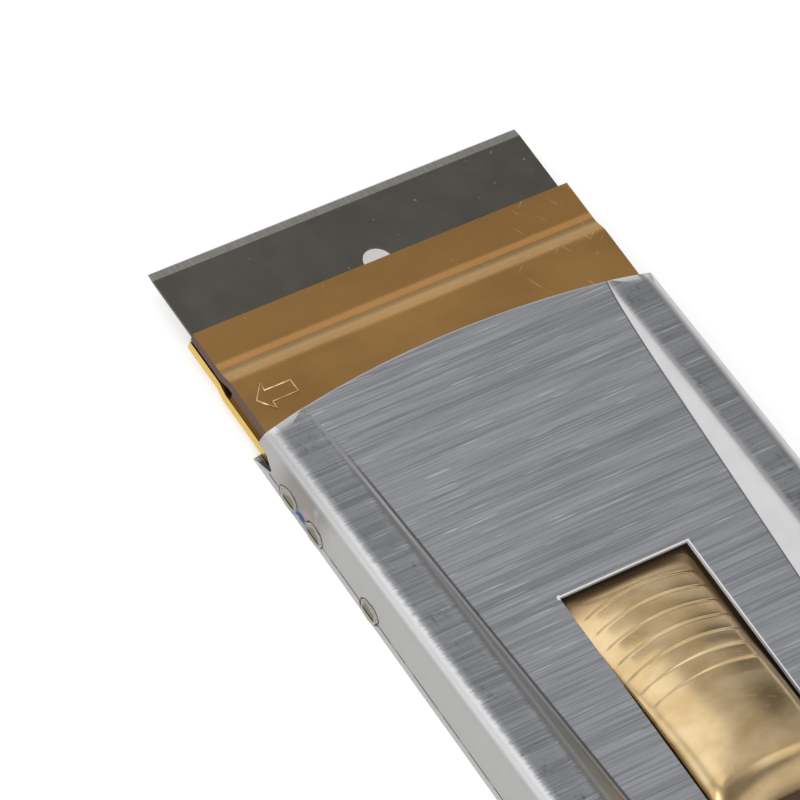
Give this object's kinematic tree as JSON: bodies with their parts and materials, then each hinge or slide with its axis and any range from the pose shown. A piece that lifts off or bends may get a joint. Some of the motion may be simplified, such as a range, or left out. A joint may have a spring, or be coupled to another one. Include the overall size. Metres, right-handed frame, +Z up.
{
  "type": "razor_blade_scraper",
  "caption": "Flat steel razor blade scraper with a sunk top panel, a retracting brass blade slide with a ribbed thumb rest, and a single-edge blade in its folded spine",
  "frame": {"origin": "middle of the handle's flat underside, halfway along the casing and halfway across it", "axes": "X runs along the cutting edge, to the right when looking towards the edge with the underside down; Y runs along the handle towards the cutting edge; Z up, out of the sunk top panel"},
  "size_m": [0.0408, 0.1146, 0.007],
  "materials": {
    "casing_steel": "nickel-plated steel sheet, finely brushed across, pale grey",
    "slide_brass": "bare brass sheet, satin, darkened to a brownish tan with light handling scratches",
    "thumb_brass": "pressed brass, brighter where thumbs rub it",
    "blade_steel": "dark oiled blade steel with bright ground bevels along the edge",
    "spine_steel": "smooth bright folded steel strip",
    "spring_steel": "hardened spring steel strip, smooth"
  },
  "bodies": {
    "casing": {"top_shell": "casing_steel", "bottom_shell": "casing_steel"},
    "slide": {"slide_plate": "slide_brass", "lower_plate": "slide_brass", "carrier_rivets": "thumb_brass", "thumb_rest": "thumb_brass", "detent_spring": "spring_steel", "spring_rivet": "thumb_brass"},
    "blade_unit": {"blade": "blade_steel", "blade_spine": "spine_steel"}
  },
  "joints": [
    {"name": "carrier_slide", "type": "slide", "parent": "casing", "child": "slide", "axis": [0, 1, 0], "range_m": [-0.0205, 0]},
    {"name": "blade_slide", "type": "slide", "parent": "slide", "child": "blade_unit", "axis": [1, 0, 0], "range_m": [-0.0398, 0]}
  ]
}
